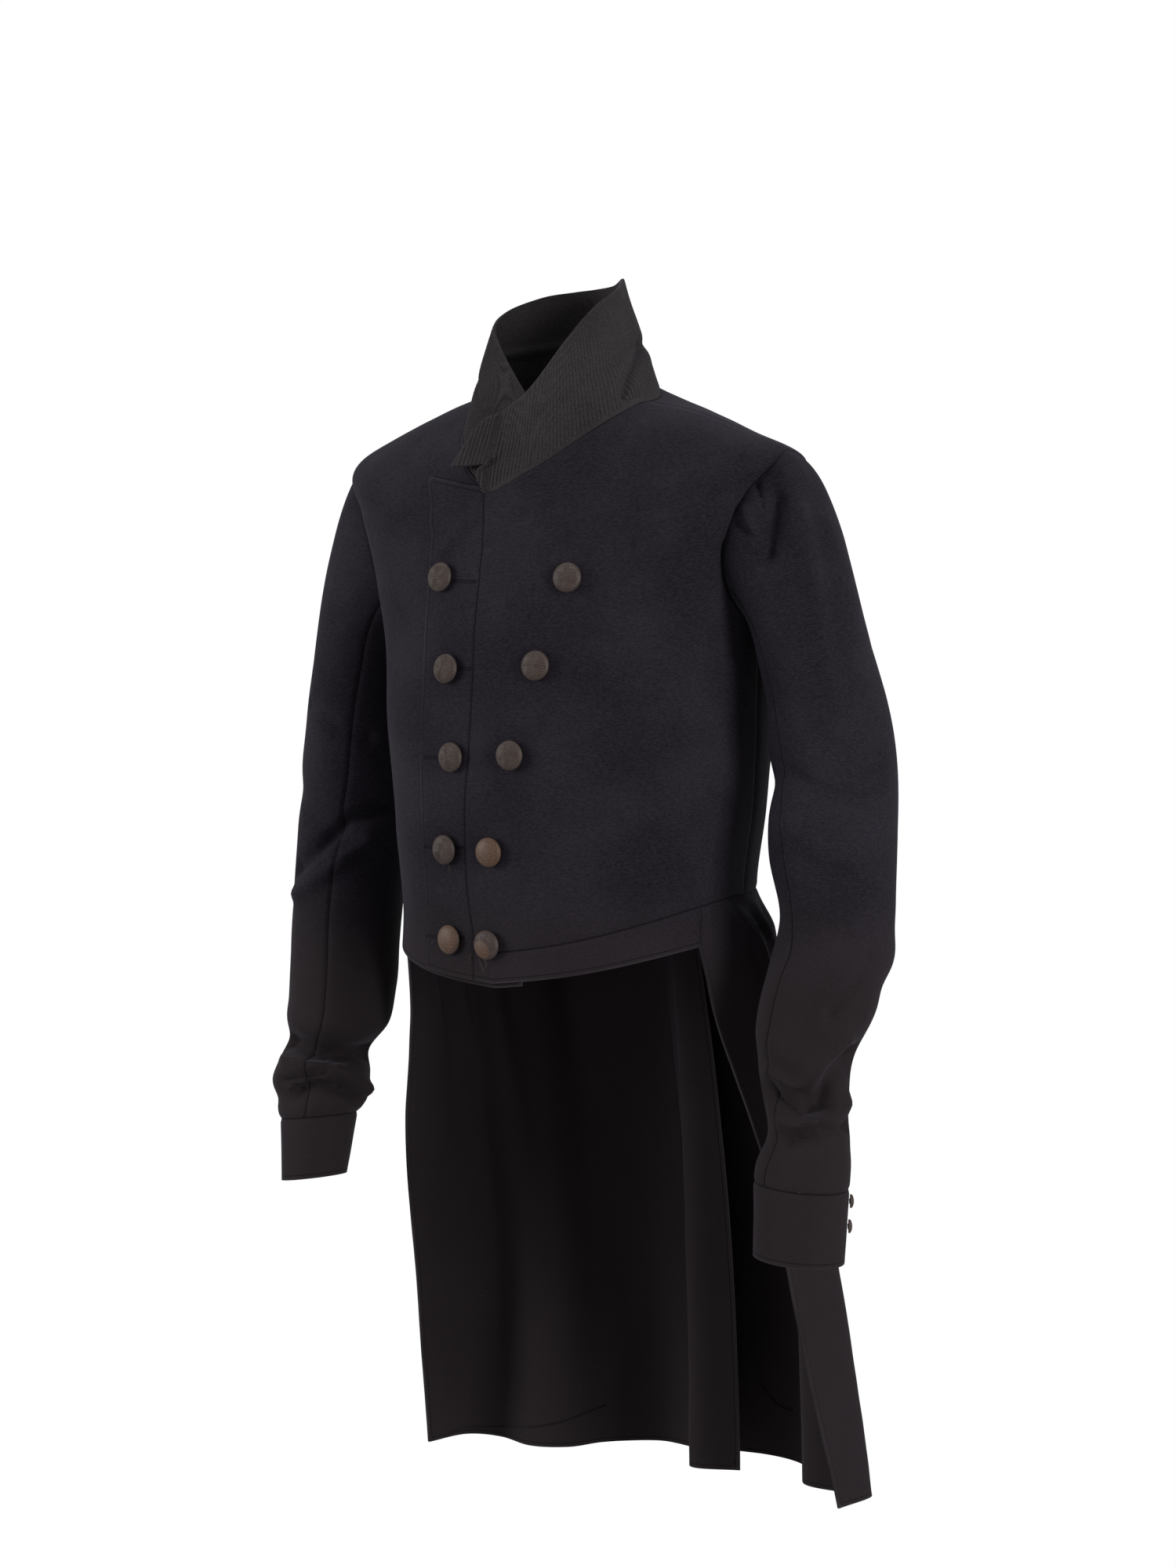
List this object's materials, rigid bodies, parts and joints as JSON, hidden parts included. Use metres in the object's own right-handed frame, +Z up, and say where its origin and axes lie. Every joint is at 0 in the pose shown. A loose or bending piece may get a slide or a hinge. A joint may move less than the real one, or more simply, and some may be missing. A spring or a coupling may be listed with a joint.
{
  "type": "wool tailcoat",
  "caption": "Double-breasted black wool tailcoat in worn form with a turned-up collar, two rows of covered buttons, and tails behind; open at neck, front hem and cuffs.",
  "frame": {"origin": "between the shoulders at the base of the neck, where the wearer carries the coat", "axes": "+Z up along the coat's length, -Y to the front, +X to the wearer's left"},
  "size_m": [0.586, 0.3556, 1.0247],
  "materials": {
    "wool": "black napped wool, matt with a soft sheen",
    "collar_wool": "black wool, pad-stitched in rows",
    "button_thread": "brown-black thread wrapped over a mould"
  },
  "bodies": {
    "root": {"left_front": "wool", "right_front": "wool", "lapel_strip": "wool", "left_side_body": "wool", "right_side_body": "wool", "left_back": "wool", "right_back": "wool", "left_skirt": "wool", "right_skirt": "wool", "left_top_sleeve": "wool", "left_under_sleeve": "wool", "right_top_sleeve": "wool", "right_under_sleeve": "wool", "left_cuff": "wool", "right_cuff": "wool", "collar": "collar_wool", "edge_button_1": "button_thread", "edge_button_2": "button_thread", "edge_button_3": "button_thread", "edge_button_4": "button_thread", "edge_button_5": "button_thread", "breast_button_1": "button_thread", "breast_button_2": "button_thread", "breast_button_3": "button_thread", "breast_button_4": "button_thread", "breast_button_5": "button_thread", "left_cuff_button_1": "button_thread", "left_cuff_button_2": "button_thread", "right_cuff_button_1": "button_thread", "right_cuff_button_2": "button_thread"}
  },
  "joints": []
}
